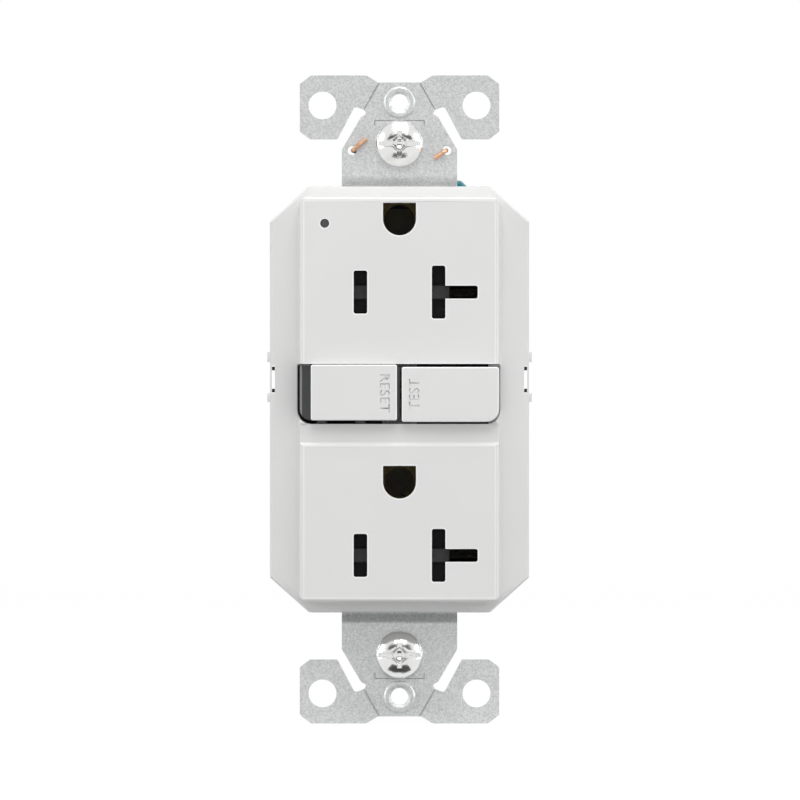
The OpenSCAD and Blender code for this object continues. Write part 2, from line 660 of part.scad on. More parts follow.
// the tray that holds the contacts, with wells for the ground pins
tray_wall = 1.2;
well_y = 13.4; // bottom of a well
module contact_tray() {
    well_r = contact_tube_r + 0.9;
    color("beige") less_pocket(deck_y1, floor_y1 + 1) difference() {
        union() {
            difference() {
                plate(deck_y1, floor_y1) housing_outline(housing_t + gap);
                plate(deck_y1 - 1, floor_y) housing_outline(housing_t + gap + tray_wall);
            }
            intersection() {
                plate(deck_y1, floor_y1) housing_outline(housing_t + gap);
                union() {
                    for (p = posts) rod_y(p[0], p[1], deck_y1, floor_y1, 2.1);
                    slab(pocket_x - tray_wall, pocket_x, deck_y1, floor_y1, pocket_z - tray_wall, inner_z);
                    slab(pocket_x - tray_wall, inner_x, deck_y1, floor_y1, pocket_z - tray_wall, pocket_z);
                }
            }
            intersection() {
                plate(floor_y, well_y + 0.8) housing_outline(housing_t + gap);
                for (z = ground_z) rod_y(0, z, floor_y, well_y + 0.8, well_r);
            }
        }
        for (z = ground_z) rod_y(0, z, deck_y1 - 1, well_y, contact_tube_r + 0.3);
        for (p = posts) rod_y(p[0], p[1], 0, floor_y1 + 1, long_screw_r + 0.2);
        for (s = [-1, 1]) translate([s * (term_x + term_t / 2), 0, term_z])
            slab(-0.6, 0.6, 0, floor_y1 + 1, -term_half - gap, term_half + gap);
        inner_windows(0, floor_y1 + 1);
        rod_y(lamp_at[0], lamp_at[1], 0, floor_y1 + 1, pipe_r + fit);
    }
}
// passages through the tray's floor and the circuit board
module inner_windows(y0, y1) {
    slab(mech_x - 2.2, mech_x + 2.2, y0, y1, mech_z - 2.2, leg_z + 1.6);
    slab(-bar_x - 1.9, bar_x + 1.9, y0, y1, coil_z - 1.9, coil_z + 1.9);
    slab(5 - gap, 5.6 + gap, y0, y1, 4.4 - gap, 6.4 + gap);
}
coil_z = -20; // sensor coils, around the line bars
bar_x = 1.5;
leg_z = 6.8; // the latch plate's leg

// load side: two sets of jaws on one rail, which ends in a terminal plate
jaw_gap = 0.7; // half of the space that grips a blade
mouth_y = 1.4; // front of the jaws
module leaf(half) { // one leaf of a jaw, with its mouth turned out, on the +X side
    t = brass_t - 0.05;
    mouth = jaw_gap + 0.75;
    translate([0, 0, -half]) linear_extrude(2 * half) polygon([[jaw_gap, floor_y], [jaw_gap, 4.2],
        [mouth, mouth_y], [mouth + t, mouth_y], [jaw_gap + t, 4.5], [jaw_gap + t, floor_y]]);
}
module hot_jaws() {
    for (m = [0, 1]) mirror([m, 0, 0]) leaf(hot_slot_h / 2 - 0.3);
}
module neutral_jaws() {
    mirror([1, 0, 0]) leaf(neutral_slot_h / 2 - 0.4);
    for (s = [-1, 1]) {
        translate([0, 0, s * 2.95]) leaf(0.95);
        translate([neutral_bar / 2 + 1, 0, 0]) rotate([0, -s * 90, 0]) leaf(2.3);
    }
}
rail_y = 3.2;
contact_z = 8;
contact_x = term_x - 2.3;
pad_y = 5.4; // back of the strip that carries a fixed contact
module load_bus(s) {
    foot = [s * (blade_pitch / 2 - 1.5), s * term_x];
    pad = [s * 11, s * (term_x + eps)];
    for (z = outlet_z) {
        translate([0, 0, z])
            slab(min(foot), max(foot), floor_y - brass_t, floor_y,
                0.1 - hot_slot_h / 2, hot_slot_h / 2 - 0.1);
        translate([s * blade_pitch / 2, 0, z]) children();
    }
    translate([s * (term_x + term_t / 2), 0, 0]) {
        slab(-term_t / 2, term_t / 2, rail_y, floor_y, blade_z_low - 2.4, blade_z_up + hot_slot_h / 2);
        terminal_plate(term_z, rail_y);
    }
    slab(min(pad), max(pad), pad_y - brass_t, pad_y, contact_z - 1.5, contact_z + 1.5);
    rod_y(s * contact_x, contact_z, pad_y - eps, arm_y - arm_t, 1.3);
}
// the plate behind a terminal clamp, tapped for its screw
module terminal_plate(z, y0) {
    difference() {
        slab(-term_t / 2, term_t / 2, y0, back_in - 1.1, z - term_half, z + term_half);
        rod_x(-term_t, term_t, term_y, z, term_shank_r + fit);
    }
}
module hot_load_bus() { color("goldenrod") load_bus(-1) hot_jaws(); }
module neutral_load_bus() { color("khaki") load_bus(1) neutral_jaws(); }

// line side: from the terminal plate, behind and through the coils, to the foot of a contact arm
arm_y = 6.6;
arm_t = 0.6;
arm_w = 3.2;
pivot_z = -9.4;
module line_bar(s) {
    back = back_in - 1.9;
    bar_w = 3;
    translate([s * (term_x + term_t / 2), 0, 0]) terminal_plate(-term_z, board_y);
    in_y = 10; // front strip, from the coils to the arm
    module run(x0, x1, y0, y1, z0, z1) {
        slab(min(s * x0, s * x1), max(s * x0, s * x1), y0, y1, z0, z1);
    }
    run(term_x, term_x + term_t, back, back + brass_t, coil_z - bar_w / 2, -term_z);
    run(bar_x, term_x + term_t, back, back + brass_t, coil_z - bar_w / 2, coil_z + bar_w / 2);
    run(bar_x, bar_x + 1, in_y, back + brass_t, coil_z - bar_w / 2, coil_z + bar_w / 2);
    run(bar_x, contact_x + 1.5, in_y, in_y + brass_t, coil_z - 1, coil_z + 1.8);
    run(contact_x - 1.5, contact_x + 1.5, in_y, in_y + brass_t, coil_z - 1, pivot_z);
    run(contact_x - 1.5, contact_x + 1.5, arm_y + arm_t + gap, in_y + brass_t, pivot_z - 1.5, pivot_z);
}
module hot_line_bar() { color("goldenrod") line_bar(-1); }
module neutral_line_bar() { color("khaki") line_bar(1); }
module contact_arm(s) {
    translate([s * contact_x, 0, 0]) {
        slab(-arm_w / 2, arm_w / 2, arm_y, arm_y + arm_t, pivot_z - 1.5, contact_z + 1.6);
        rod_y(0, contact_z, arm_y - arm_t, arm_y + eps, 1.3);
    }
}
module hot_contact_arm() { color("peru") contact_arm(-1); }
module neutral_contact_arm() { color("peru") contact_arm(1); }

// terminal screws and the clamps that they draw in
module terminal_screw(s, z) {
    under = clamp_x + clamp_t;
    translate([0, term_y, z]) mirror([s < 0 ? 1 : 0, 0, 0]) difference() {
        union() {
            rod_x(under - term_shank_l, under + eps, 0, 0, term_shank_r);
            rod_x(under, under + term_head_h, 0, 0, term_head_r);
        }
        translate([under + term_head_h, 0, 0]) side_recess();
    }
}
module terminal_clamp(s, z) {
    translate([s * (clamp_x + clamp_t / 2), 0, z]) difference() {
        slab(-clamp_t / 2, clamp_t / 2, clamp_y[0], clamp_y[1], 0.3 - term_half, term_half - 0.3);
        rod_x(-clamp_t, clamp_t, term_y, 0, term_shank_r + fit);
        for (w = [-1, 1]) rod_y(-s * clamp_t / 2, w * wire_off, clamp_y[0] - 1, clamp_y[1] + 1, 0.7);
    }
}
module hot_load_screw() { color("goldenrod") terminal_screw(-1, term_z); }
module hot_line_screw() { color("goldenrod") terminal_screw(-1, -term_z); }
module neutral_load_screw() { color("silver") terminal_screw(1, term_z); }
module neutral_line_screw() { color("silver") terminal_screw(1, -term_z); }
module hot_load_clamp() { color("goldenrod") terminal_clamp(-1, term_z); }
module hot_line_clamp() { color("goldenrod") terminal_clamp(-1, -term_z); }
module neutral_load_clamp() { color("silver") terminal_clamp(1, term_z); }
module neutral_line_clamp() { color("silver") terminal_clamp(1, -term_z); }

// the paddles and what they push
paddle_back = -7.4;
carrier_y = paddle_back + 1.8; // back of the carrier's plate
skirt_y = -4.5; // backs of the skirts round the paddles
latch_y = 8.65;
latch_t = 0.7;
catch_y = [7.8, latch_y + 0.9]; // neck of the reset stem, which the latch plate grips
module paddle_profile(x0, x1, y_front, y_back) { // seen from above, its front crowned by one arc
    half = (x1 - x0) / 2;
    r = (half * half + paddle_crown * paddle_crown) / (2 * paddle_crown);
    intersection() {
        translate([x0, y_front]) square([2 * half, y_back - y_front]);
        translate([(x0 + x1) / 2, y_front + r]) circle(r, $fn = 360);
    }
}
reset_z = [open_z0 + 0.59, open_z1 - 0.13];
test_z = [open_z0 + 0.34, open_z1 - 0.51];
reset_x1 = reset_x0 + 14;
test_x0 = reset_x1 + paddle_gap;
test_x1 = open_x1 - 0.25;
carrier_x0 = open_x0 + 0.45;
module reset_button() {
    color("white") intersection() {
        plate(-paddle_out, paddle_back) polygon(soft([[reset_x0, reset_z[0], 0.3],
            [reset_x1, reset_z[0], 0.3], [reset_x1, reset_z[1], 0.3], [reset_x0, reset_z[1], 0.3]]));
        linear_extrude(40, center = true) paddle_profile(reset_x0, reset_x1, -paddle_out, 0);
    }
}
module reset_carrier() {
    z = [open_z0 + 0.6, open_z1 - 0.25];
    x1 = test_x0 - 0.3;
    skirt = 1; // wall that hangs from the carrier's rim
    lip = 0.8; // thickness of the lip that closes the gap at the left end
    outline = [[carrier_x0, z[1], 0.3], [carrier_x0, z[0], open_r - 0.4], [x1, z[0], 0.3], [x1, z[1], 0.3]];
    lip_x0 = open_x0 + gap;
    color([0.2, 0.22, 0.22]) difference() {
        union() {
            difference() {
                union() {
                    plate(paddle_back, skirt_y) polygon(soft(outline));
                    plate(skirt_y - lip, skirt_y) polygon(soft([[lip_x0, z[1], 0.3],
                        [lip_x0, open_z0 + gap, open_r], [lip_x0 + 3.2, open_z0 + gap, 0],
                        [lip_x0 + 3.2, z[1], 0]]));
                    for (x = [reset_x0 + 1, reset_x1 - 6.7])
                        slab(x, x + 1.5, paddle_back, skirt_y, open_z0 + gap, z[0] + skirt);
                }
                slab(carrier_x0 + skirt, x1 - skirt, carrier_y, 0, z[0] + skirt, z[1] - skirt);
            }
            slab(reset_x1 + 0.15, reset_x1 + 0.4, paddle_back - 1.2, paddle_back + eps,
                z[0] + 0.4, z[1] - 0.2);
            rod_y(mech_x, mech_z, carrier_y - eps, catch_y[0], stem_r);
            rod_y(mech_x, mech_z, catch_y[0] - eps, catch_y[1] + eps, 0.9);
            translate([mech_x, catch_y[1], mech_z]) rotate([-90, 0, 0])
                cylinder(h = 1.35, r1 = 1.5, r2 = 0.7);
        }
        translate([carrier_x0, paddle_back, (z[0] + z[1]) / 2]) rotate([0, 0, 45])
            cube([0.5, 0.5, 20], center = true);
    }
}
module reset_spring() {
    color("silver") translate([mech_x, strap_t, mech_z]) rotate([90, 0, 0])
        coil(stem_r + 0.45, 0.25, strap_t - carrier_y - gap, 5);
}
module test_button() {
    shell = 1.3;
    outline = [[test_x0, test_z[0], 0.3], [test_x1, test_z[0], open_r - 0.2],
        [test_x1, test_z[1], 0.4], [test_x0, test_z[1], 0.3]];
    color("white") difference() {
        intersection() {
            plate(-paddle_out, skirt_y) polygon(soft(outline));
            linear_extrude(40, center = true) paddle_profile(test_x0, test_x1, -paddle_out + 0.15, 0);
        }
        slab(test_x0 + shell, test_x1 - shell, paddle_back, 0, test_z[0] + shell, test_z[1] - shell);
    }
}
module test_stem() {
    color([0.2, 0.22, 0.22]) {
        slab(test_x0 + 1.4, test_x1 - 1.4, paddle_back, paddle_back + 1.6, test_z[0] + 1.4, test_z[1] - 1.4);
        rod_y(test_x, mech_z, paddle_back + 1, deck_y1 + 0.1, test_stem_r);
    }
}
// a sprung strip on the circuit board, closed by the test stem
module test_contact() {
    y = deck_y1 + 0.1 + press_travel + gap;
    color("goldenrod") {
        slab(5, 5.6, y, board_y1, 4.4, 6.4);
        slab(5, 9.4, y, y + 0.4, mech_z - 1.2, 6.4);
    }
}

// shutters: each has a window that slides under its slot
module post_notch(s) { // the lower outlet's corners are cut back for the screw posts
    translate([s * 15, 0, -6]) slab(-3.2, 3.2, face_in, 0, -2.4, 2.4);
}
shutter_half = rail_in - gap;
module shutter_window(w, h) { plate(shutter_y - 1, shutter_y + shutter_t + 1) rounded_rect(w, h, 0.3); }
module left_shutter(z) {
    inner = -3.6;
    translate([0, 0, z]) difference() {
        slab(hot_x - 5, inner, shutter_y, shutter_y + shutter_t, -shutter_half, shutter_half);
        translate([hot_x - shutter_travel, 0, 0]) shutter_window(slot_w + 0.3, hot_slot_h + 0.4);
        for (s = [-1, 1]) translate([hot_x, 0, s * 3.2])
            slab(-1.25, 1.25, shutter_y - 1, shutter_y + 1, -2, 2);
        slab(inner - 1.4, inner + 1, shutter_y + 0.5, shutter_y + shutter_t + 1, -0.95, 0.95);
    }
}
module right_shutter(z) {
    inner = 3.6;
    open_at = neutral_x + shutter_travel;
    bar_half = slot_w / 2 + 0.05;
    translate([0, 0, z]) difference() {
        slab(inner, cavity_x - 0.2, shutter_y, shutter_y + shutter_t, -shutter_half, shutter_half);
        translate([open_at, 0, 0]) shutter_window(slot_w + 0.3, neutral_slot_h + 0.3);
        slab(open_at, cavity_x + 1, shutter_y - 1, shutter_y + shutter_t + 1, -bar_half, bar_half);
        for (s = [-1, 1]) translate([neutral_x, 0, s * 3.2])
            slab(-1.25, 1.25, shutter_y - 1, shutter_y + 1, -2, 2);
        slab(inner - 1, inner + 1.4, shutter_y + 0.5, shutter_y + shutter_t + 1, -0.95, 0.95);
        post_notch(1);
    }
}
module shutter_spring(z) {
    translate([-5, shutter_y + 1.4, z]) rotate([0, 90, 0]) coil(0.65, 0.13, 10, 9);
}
module shutter_retainer(z) {
    translate([0, 0, z]) difference() {
        slab(-cavity_x + gap, cavity_x - gap, retainer_y, retainer_y + retainer_t,
            -shutter_half, shutter_half);
        plate(retainer_y - 1, retainer_y + retainer_t + 1) blade_shapes(0.25);
        for (s = [-1, 1]) post_notch(s);
    }
}
module upper_left_shutter() { color("dimgray") left_shutter(blade_z_up); }
module upper_right_shutter() { color("dimgray") right_shutter(blade_z_up); }
module upper_shutter_spring() { color("silver") shutter_spring(blade_z_up); }
module upper_shutter_retainer() { color([0.25, 0.25, 0.25]) shutter_retainer(blade_z_up); }
module lower_left_shutter() { color("dimgray") left_shutter(blade_z_low); }
module lower_right_shutter() { color("dimgray") right_shutter(blade_z_low); }
module lower_shutter_spring() { color("silver") shutter_spring(blade_z_low); }
module lower_shutter_retainer() { color([0.25, 0.25, 0.25]) shutter_retainer(blade_z_low); }

// the trip mechanism: a lifter under both arms, held by the latch plate that the solenoid kicks
module contact_lifter() {
    bar_y = arm_y + arm_t + 0.7;
    color("white") difference() {
        union() {
            slab(-contact_x - 1.6, contact_x + 1.6, bar_y, bar_y + 1.5, mech_z - 1.6, mech_z + 1.6);
            for (s = [-1, 1]) translate([s * contact_x, 0, mech_z])
                slab(-1.4, 1.4, arm_y + arm_t + gap, bar_y + eps, -0.4, 0.4);
            slab(mech_x - 3.2, mech_x + 3.2, 5, floor_y - lifter_travel - gap, mech_z - 3, mech_z + 3);
        }
        rod_y(mech_x, mech_z, 4, floor_y, stem_r + 0.3);
        slab(mech_x - 2.6, mech_x + 2.6, latch_y - fit, latch_y + latch_t + fit, mech_z - 4, mech_z + 4);
    }
}
module latch_plate() {
    hole = 1.65;
    leg_y = coil_y + 0.8; // foot of the leg that the plunger pushes
    color("silver") difference() {
        union() {
            slab(mech_x - 2.5, mech_x + 2.5, latch_y, latch_y + latch_t, mech_z - 3.2, leg_z + latch_t);
            slab(mech_x - 1.5, mech_x + 1.5, latch_y, leg_y, leg_z, leg_z + latch_t);
        }
        slab(mech_x - hole, mech_x + hole, latch_y - 1, latch_y + 2,
            mech_z - hole, mech_z + hole + plunger_travel);
    }
}
coil_y = board_y1 + winding_r + 0.2; // axis of the solenoid
bobbin_z = [11.8, 26];
module solenoid_bobbin() {
    color("ivory") translate([mech_x, coil_y, 0]) difference() {
        union() {
            for (z = [bobbin_z[0], bobbin_z[1] - 0.8]) translate([0, 0, z])
                cylinder(h = 0.8, r = winding_r + 0.15);
            translate([0, 0, bobbin_z[0]]) cylinder(h = bobbin_z[1] - bobbin_z[0], r = 2.4);
        }
        translate([0, 0, bobbin_z[0] - 1]) cylinder(h = 20, r = 1.5 + fit);
    }
}
module solenoid_winding() {
    color("chocolate") translate([mech_x, coil_y, bobbin_z[0] + 0.8]) difference() {
        cylinder(h = bobbin_z[1] - bobbin_z[0] - 1.6, r = winding_r);
        translate([0, 0, -1]) cylinder(h = 20, r = 2.4 + fit);
    }
}
module solenoid_frame() {
    color("gray") translate([mech_x, 0, 0]) difference() {
        slab(-winding_r - 0.1, winding_r + 1, board_y1, coil_y + winding_r,
            bobbin_z[0] - 0.8, bobbin_z[1] + 0.8);
        slab(-winding_r - 1, winding_r + 0.2, board_y1 - 1, coil_y + winding_r + 1,
            bobbin_z[0], bobbin_z[1]);
        rod_z(0, coil_y, 0, bobbin_z[0] + 1, 1.5 + gap);
    }
}
module plunger() {
    top = leg_z + latch_t + gap;
    color("silver") {
        rod_z(mech_x, coil_y, top, top + 0.8, 2.3);
        rod_z(mech_x, coil_y, top + 0.8 - eps, bobbin_z[1] - 4, 1.5);
    }
}
module plunger_spring() {
    foot = leg_z + latch_t + gap + 0.8;
    length = bobbin_z[0] - 0.8 - foot - 0.04;
    color("silver") translate([mech_x, coil_y, foot + 0.02]) coil(1.85, 0.2, length, 3);
}

// the circuit board and what it carries
module circuit_board() {
    color("seagreen") difference() {
        plate(board_y, board_y1) housing_outline(housing_t + 0.4);
        for (sx = [-1, 1], sz = [-1, 1]) translate([sx * (term_x + 2.4), 0, sz * term_z])
            slab(-3, 3, board_y - 1, board_y1 + 1, -chamber - 1.4, chamber + 1.4);
        for (p = posts) rod_y(p[0], p[1], board_y - 1, board_y1 + 1, 2.4);
        inner_windows(board_y - 1, board_y1 + 1);
    }
}
coil_t = (back_in - board_y1 - 2.9) / 2; // thickness of a sensor coil
module ring(y, h, r0, r1) {
    difference() {
        rod_y(0, coil_z, y, y + h, r1);
        rod_y(0, coil_z, y - 1, y + h + 1, r0);
    }
}
module ground_fault_coil() { color("orangered") ring(board_y1 + 0.1, coil_t, coil_bore_r, coil_r); }
module arc_fault_coil() {
    color("darkgoldenrod") ring(board_y1 + coil_t + 0.2, coil_t, coil_bore_r, coil_r);
}
module coil_spool() {
    color([0.15, 0.15, 0.15]) {
        ring(board_y1, 2 * coil_t + 0.5, coil_bore_r - 0.8, coil_bore_r - fit);
        ring(board_y1 + 2 * coil_t + 0.3, 0.5, coil_bore_r - 0.8, coil_r);
    }
}
module capacitors() {
    can_r = 3.2;
    color("navy") for (z = [8, 15.2]) rod_y(5.5, z, board_y1, back_in - 1.1, can_r);
}
module varistor() {
    disc_r = (back_in - board_y1) / 2 - 0.55;
    color("gold") rod_x(3.5, 7, board_y1 + disc_r + gap, inner_z - disc_r - 0.9, disc_r);
}
module board_chips() {
    color([0.1, 0.1, 0.1]) {
        slab(-11.5, -6.5, board_y1, board_y1 + 1.4, -6.5, -2.5);
        slab(3.5, 8, board_y1, board_y1 + 1.4, -6, -1.5);
        slab(-2, 1.5, board_y1, board_y1 + 1.1, -4, 0);
        for (x = [10.2, 12.2]) slab(x, x + 1.2, board_y1, board_y1 + 0.8, -4, -2);
    }
}
module indicator_led() {
    color("red") translate([lamp_at[0], 0, lamp_at[1]]) slab(-0.8, 0.8, board_y - 0.7, board_y, -0.6, 0.6);
}
module light_pipe() {
    color("lightcyan") rod_y(lamp_at[0], lamp_at[1], face_in + 0.6, board_y - 0.8, pipe_r);
}

front_cover();
rear_housing();
mounting_strap();
insulating_deck();
contact_tray();
assembly_screws();
box_screw_top();
box_screw_bottom();
screw_retainers();
self_ground_wire();
ground_screw();
upper_ground_contact();
lower_ground_contact();
reset_button();
reset_carrier();
reset_spring();
test_button();
test_stem();
test_contact();
upper_left_shutter();
upper_right_shutter();
upper_shutter_spring();
upper_shutter_retainer();
lower_left_shutter();
lower_right_shutter();
lower_shutter_spring();
lower_shutter_retainer();
hot_load_bus();
neutral_load_bus();
hot_line_bar();
neutral_line_bar();
hot_contact_arm();
neutral_contact_arm();
contact_lifter();
latch_plate();
solenoid_bobbin();
solenoid_winding();
solenoid_frame();
plunger();
plunger_spring();
hot_load_screw();
hot_line_screw();
neutral_load_screw();
neutral_line_screw();
hot_load_clamp();
hot_line_clamp();
neutral_load_clamp();
neutral_line_clamp();
circuit_board();
ground_fault_coil();
arc_fault_coil();
coil_spool();
capacitors();
varistor();
board_chips();
indicator_led();
light_pipe();
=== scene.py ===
import json
import math

import bpy
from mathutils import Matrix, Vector

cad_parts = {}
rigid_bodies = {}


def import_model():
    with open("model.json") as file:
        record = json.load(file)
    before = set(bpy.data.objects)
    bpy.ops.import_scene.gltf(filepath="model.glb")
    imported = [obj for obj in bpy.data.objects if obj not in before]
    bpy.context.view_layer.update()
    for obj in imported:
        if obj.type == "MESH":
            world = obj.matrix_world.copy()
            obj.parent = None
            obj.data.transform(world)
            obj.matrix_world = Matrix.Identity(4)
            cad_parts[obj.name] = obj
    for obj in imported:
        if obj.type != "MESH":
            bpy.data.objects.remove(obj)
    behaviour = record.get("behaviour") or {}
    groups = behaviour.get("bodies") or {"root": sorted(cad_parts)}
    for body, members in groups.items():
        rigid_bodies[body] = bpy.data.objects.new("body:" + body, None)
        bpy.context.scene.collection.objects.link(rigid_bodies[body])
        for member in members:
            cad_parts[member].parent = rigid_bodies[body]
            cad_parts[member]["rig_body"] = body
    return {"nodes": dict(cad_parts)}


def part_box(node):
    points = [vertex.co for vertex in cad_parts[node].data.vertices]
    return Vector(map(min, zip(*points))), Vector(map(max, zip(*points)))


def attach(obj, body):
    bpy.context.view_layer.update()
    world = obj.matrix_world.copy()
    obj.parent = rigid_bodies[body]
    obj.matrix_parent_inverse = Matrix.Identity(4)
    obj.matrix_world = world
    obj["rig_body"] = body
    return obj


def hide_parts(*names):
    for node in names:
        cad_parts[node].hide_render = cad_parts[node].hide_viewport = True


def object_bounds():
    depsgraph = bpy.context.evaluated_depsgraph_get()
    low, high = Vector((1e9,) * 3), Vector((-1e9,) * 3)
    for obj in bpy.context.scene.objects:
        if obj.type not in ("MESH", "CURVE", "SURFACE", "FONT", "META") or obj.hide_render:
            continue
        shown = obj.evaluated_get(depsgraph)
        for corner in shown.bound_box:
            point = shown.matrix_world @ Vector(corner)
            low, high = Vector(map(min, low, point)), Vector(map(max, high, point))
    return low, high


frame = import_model()
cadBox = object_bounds()
nodes = frame["nodes"]
mm = 0.001


def deselect():
    bpy.ops.object.select_all(action="DESELECT")


def only(piece):
    deselect()
    piece.select_set(True)
    bpy.context.view_layer.objects.active = piece


def editAll(piece):
    # edit mode with the whole piece selected
    only(piece)
    bpy.ops.object.mode_set(mode="EDIT")
    bpy.ops.mesh.select_all(action="SELECT")


def editDone():
    bpy.ops.object.mode_set(mode="OBJECT")


def camelName(node):
    first, *rest = node.split("_")
    return first + "".join(word.capitalize() for word in rest)


def addNode(tree, kind, values=None, links=None, **settings):
    # a shader node with its settings, its values and what runs into it
    made = tree.nodes.new("ShaderNode" + kind)
    for name, value in settings.items():
        setattr(made, name, value)
    for name, value in (values or {}).items():
        made.inputs[name].default_value = value
    for name, source in (links or {}).items():
        tree.links.new(source, made.inputs[name])
    return made


def larger(tree, one, other):
    return addNode(tree, "Math", links={0: one, 1: other}, operation="MAXIMUM").outputs[0]


# copper tracks under the board's lacquer
boardTracks = {
    "Scale": 420, "Mortar Size": 0.06, "Color1": (0.012, 0.12, 0.04, 1), "Color2": (0.014, 0.14, 0.05, 1),
    "Mortar": (0.03, 0.24, 0.08, 1),
}

# finishes: colour and how it varies, gloss and how it varies, and the relief of the surface
finishes = {
    "mouldedWhite": {"color": (0.79, 0.79, 0.785), "vary": 0.02, "scale": 60, "rough": (0.30, 0.38),
                     "grain": 5200, "depth": 0.012, "coat": 0.12},
    # paler white painted on softened edges and rims of white mouldings as a highlight
    "whiteEdge": {"color": (0.92, 0.92, 0.915), "vary": 0.01, "scale": 60, "rough": (0.30, 0.38),
                  "grain": 5200, "depth": 0.008, "coat": 0.12},
    "mouldedCharcoal": {"color": (0.035, 0.038, 0.042), "vary": 0.25, "scale": 400, "rough": (0.42, 0.6),
                        "grain": 3200, "depth": 0.08},
    "satinCharcoal": {"color": (0.038, 0.042, 0.042), "vary": 0.1, "scale": 300, "rough": (0.25, 0.34),
                      "grain": 4200, "depth": 0.02},
    # a painted highlight for the sloping rim of the reset carrier
    "rubbedRim": {"color": (0.2, 0.21, 0.21), "vary": 0.1, "scale": 300, "rough": (0.25, 0.34),
                  "grain": 4200, "depth": 0.02},
    "galvanised": {"color": (0.66, 0.67, 0.672), "vary": 0.2, "scale": 5200, "rough": (0.42, 0.58),
                   "grain": 4800, "depth": 0.03, "metal": 0.8, "spangle": 4200},
    "zincPlate": {"color": (0.80, 0.80, 0.79), "vary": 0.06, "scale": 300, "rough": (0.10, 0.22),
                  "grain": 1500, "depth": 0.03, "metal": 1.0},
    "blackOxide": {"color": (0.05, 0.05, 0.055), "vary": 0.3, "scale": 500, "rough": (0.3, 0.5),
                   "grain": 1800, "depth": 0.05, "metal": 0.7},
    "stampedBrass": {"color": (0.72, 0.50, 0.20), "vary": 0.12, "scale": 260, "rough": (0.2, 0.4),
                     "grain": 2200, "depth": 0.04, "metal": 1.0, "stretch": (1, 1, 12)},
    # brass of the ground contacts, darkened to near-black as painted shade for their place in shadow
    "agedBrass": {"color": (0.065, 0.05, 0.02), "vary": 0.3, "scale": 500, "rough": (0.3, 0.5),
                  "grain": 2200, "depth": 0.04, "metal": 0.9, "stretch": (1, 1, 8)},
    "nickelBrass": {"color": (0.13, 0.125, 0.11), "vary": 0.1, "scale": 260, "rough": (0.2, 0.38),
                    "grain": 2200, "depth": 0.04, "metal": 1.0, "stretch": (1, 1, 12)},
    "tealScrew": {"color": (0.0, 0.22, 0.27), "vary": 0.15, "scale": 300, "rough": (0.2, 0.34),
                  "grain": 1500, "depth": 0.03, "metal": 0.8},
    "drawnCopper": {"color": (0.70, 0.42, 0.27), "vary": 0.25, "scale": 700, "rough": (0.25, 0.5),
                    "grain": 2400, "depth": 0.06, "metal": 1.0},
    "enamelWire": {"color": (0.42, 0.13, 0.04), "vary": 0.15, "scale": 300, "rough": (0.2, 0.35),
                   "grain": 900, "depth": 0.02, "metal": 0.6, "turns": 260},
    "springSteel": {"color": (0.50, 0.51, 0.52), "vary": 0.1, "scale": 600, "rough": (0.2, 0.32),
                    "grain": 1800, "depth": 0.03, "metal": 1.0},
    "zincSteel": {"color": (0.48, 0.49, 0.50), "vary": 0.12, "scale": 350, "rough": (0.28, 0.44),
                  "grain": 2000, "depth": 0.05, "metal": 1.0, "stretch": (1, 1, 8)},
    "glassFilledDark": {"color": (0.06, 0.06, 0.06), "vary": 0.3, "scale": 700, "rough": (0.5, 0.7),
                        "grain": 2600, "depth": 0.1},
    "glassFilledBuff": {"color": (0.55, 0.50, 0.38), "vary": 0.12, "scale": 700, "rough": (0.45, 0.65),
                        "grain": 2600, "depth": 0.08},
    # shutterGrey carries a lighter band painted across its lands as a highlight
    "shutterGrey": {"color": (0.006, 0.0065, 0.0065), "vary": 0.25, "scale": 500, "rough": (0.32, 0.5),
                    "grain": 3000, "depth": 0.05, "specular": 0.16, "worn": (0.05, 0.05, 0.052),
                    "lands": ("upper_left_shutter", "lower_left_shutter")},
    "naturalNylon": {"color": (0.66, 0.64, 0.56), "vary": 0.06, "scale": 300, "rough": (0.35, 0.5),
                     "grain": 2600, "depth": 0.04, "coat": 0.1},
    "fibreBoard": {"color": (0.16, 0.07, 0.03), "vary": 0.4, "scale": 900, "rough": (0.6, 0.8),
                   "grain": 1800, "depth": 0.15, "stretch": (1, 1, 6)},
    "solderMask": {"color": (0.012, 0.13, 0.045), "vary": 0.15, "scale": 200, "rough": (0.18, 0.3),
                   "grain": 1500, "depth": 0.03, "coat": 0.4, "tracks": boardTracks},
    "tapedCoil": {"color": (0.55, 0.20, 0.03), "vary": 0.2, "scale": 300, "rough": (0.25, 0.4),
                  "grain": 900, "depth": 0.04, "turns": 150},
    "varnishedCoil": {"color": (0.20, 0.11, 0.03), "vary": 0.25, "scale": 300, "rough": (0.2, 0.35),
                      "grain": 900, "depth": 0.04, "turns": 190},
    "sleeve": {"color": (0.01, 0.02, 0.07), "vary": 0.15, "scale": 200, "rough": (0.2, 0.3),
               "grain": 1200, "depth": 0.02, "coat": 0.2},
    "dippedCoat": {"color": (0.55, 0.33, 0.03), "vary": 0.15, "scale": 300, "rough": (0.3, 0.5),
                   "grain": 900, "depth": 0.1},
    "chipBlack": {"color": (0.02, 0.02, 0.022), "vary": 0.3, "scale": 900, "rough": (0.45, 0.6),
                  "grain": 3000, "depth": 0.06},
    # near-black painted shade for the deep lip and sides of the reset carrier
    "gapBlack": {"color": (0.008, 0.008, 0.009), "vary": 0.3, "scale": 900, "rough": (0.6, 0.8),
                 "grain": 3000, "depth": 0.06, "specular": 0.1},
    "redLens": {"color": (0.45, 0.02, 0.01), "vary": 0.1, "scale": 300, "rough": (0.1, 0.2),
                "grain": 800, "depth": 0.01, "coat": 0.3},
    "clearAcrylic": {"color": (0.55, 0.60, 0.62), "vary": 0.04, "scale": 300, "rough": (0.05, 0.12),
                     "grain": 800, "depth": 0.01, "coat": 0.4, "clear": 0.6},
}
